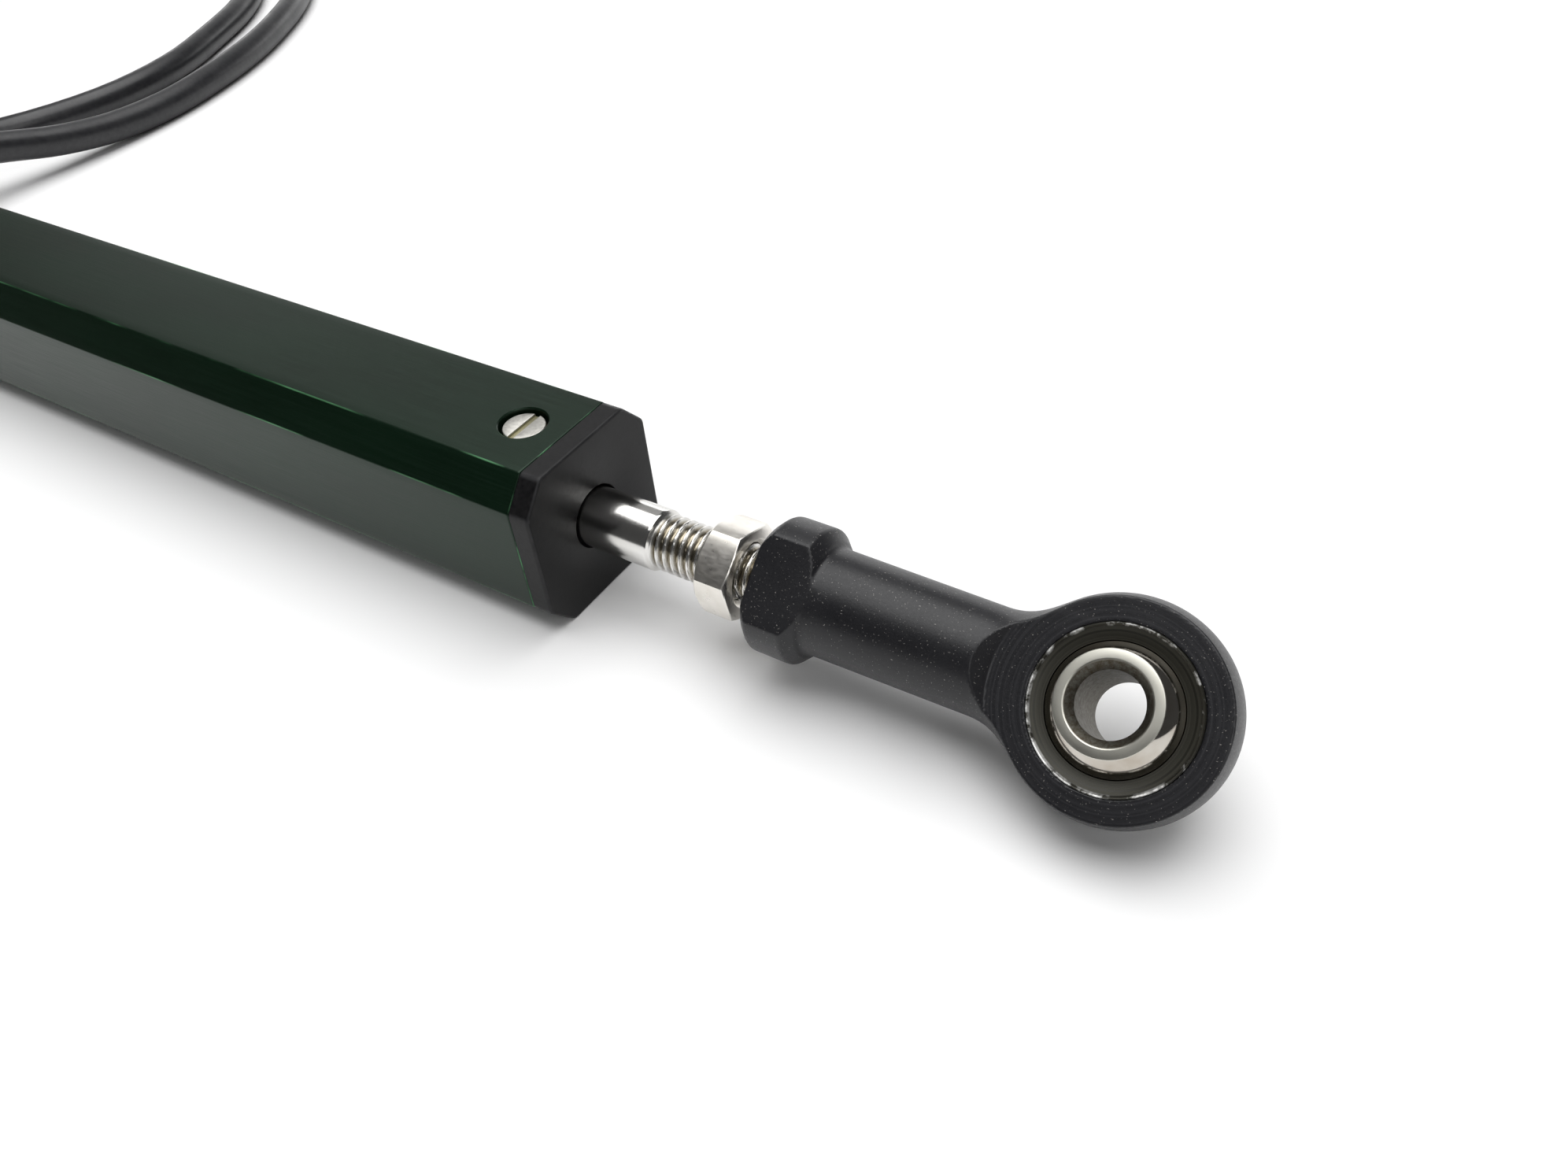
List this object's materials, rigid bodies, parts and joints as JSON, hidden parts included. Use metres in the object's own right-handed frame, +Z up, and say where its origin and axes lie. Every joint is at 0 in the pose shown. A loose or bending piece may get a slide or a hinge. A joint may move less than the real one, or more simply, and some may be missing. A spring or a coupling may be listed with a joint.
{
  "type": "linear position transducer",
  "caption": "Rod-type linear position transducer, a linear actuator's stroke sensor, with a square chamfered body, a sliding rod and ball-jointed rod ends.",
  "frame": {"origin": "centre of the rear eye, on the rod's axis", "axes": "+X along the rod towards the front eye, +Z up and square to the body's top face, +Y to the side the cable leaves by"},
  "size_m": [0.312, 0.142, 0.016],
  "materials": {
    "green_anodised": "green anodised, satin, fine brushing along the length",
    "black_cap": "matt black",
    "bronze_bush": "sintered bronze",
    "seal_rubber": "matt",
    "screw_steel": "zinc plated",
    "board": "glass-filled laminate",
    "resistive": "conductive plastic film",
    "collector": "gold-plated strip",
    "conductors": "pvc insulation, one each of red, white and black",
    "rod_steel": "ground and polished stainless steel",
    "spring_steel": "spring steel",
    "carriage_plastic": "acetal",
    "wiper_metal": "precious-metal spring",
    "nut_steel": "nickel plated, rubbed",
    "rod_end_black": "black oxide, slightly grainy",
    "race_metal": "turned, dull olive grey",
    "ball_steel": "polished bearing steel",
    "gland_rubber": "matt",
    "cable_jacket": "black pvc",
    "tie_plastic": "black nylon"
  },
  "bodies": {
    "housing": {"housing_profile": "green_anodised", "front_cap": "black_cap", "rear_block": "black_cap", "front_bush": "bronze_bush", "rod_seal": "seal_rubber", "front_bumper": "seal_rubber", "rear_bumper": "seal_rubber", "cap_screws": "screw_steel", "element_board": "board", "resistive_track": "resistive", "collector_track": "collector", "lead_wires": "conductors", "rear_stud": "nut_steel", "rear_lock_nut": "nut_steel", "rear_rod_end": "rod_end_black", "rear_race": "race_metal", "cable_gland": "gland_rubber", "signal_cable": "cable_jacket", "cable_coil": "cable_jacket", "cable_tie": "tie_plastic", "wire_tails": "conductors"},
    "carriage": {"carriage": "carriage_plastic", "wiper_springs": "wiper_metal"},
    "rod": {"actuator_rod": "rod_steel", "retaining_clip": "spring_steel", "front_rod_end": "rod_end_black", "front_race": "race_metal"},
    "lock_nut": {"front_lock_nut": "nut_steel"},
    "front_ball": {"front_ball": "ball_steel"},
    "rear_ball": {"rear_ball": "ball_steel"}
  },
  "joints": [
    {"name": "rod_slide", "type": "slide", "parent": "housing", "child": "carriage", "axis": [1, 0, 0], "range_m": [0, 0.075]},
    {"name": "rod_turn", "type": "hinge", "parent": "carriage", "child": "rod", "pos_m": [0.17, 0, 0], "axis": [1, 0, 0], "continuous": true},
    {"name": "lock_nut_travel", "type": "slide", "parent": "rod", "child": "lock_nut", "axis": [1, 0, 0], "range_m": [-0.0052, 0.0018]},
    {"name": "front_ball_swivel", "type": "hinge", "parent": "rod", "child": "front_ball", "pos_m": [0.22635, 0, 0], "axis": [0, 0.7254, 0.6884], "range_deg": [-8, 17]},
    {"name": "rear_ball_swivel", "type": "hinge", "parent": "housing", "child": "rear_ball", "pos_m": [0, 0, 0], "axis": [0, 0, 1], "range_deg": [-13, 13]}
  ]
}
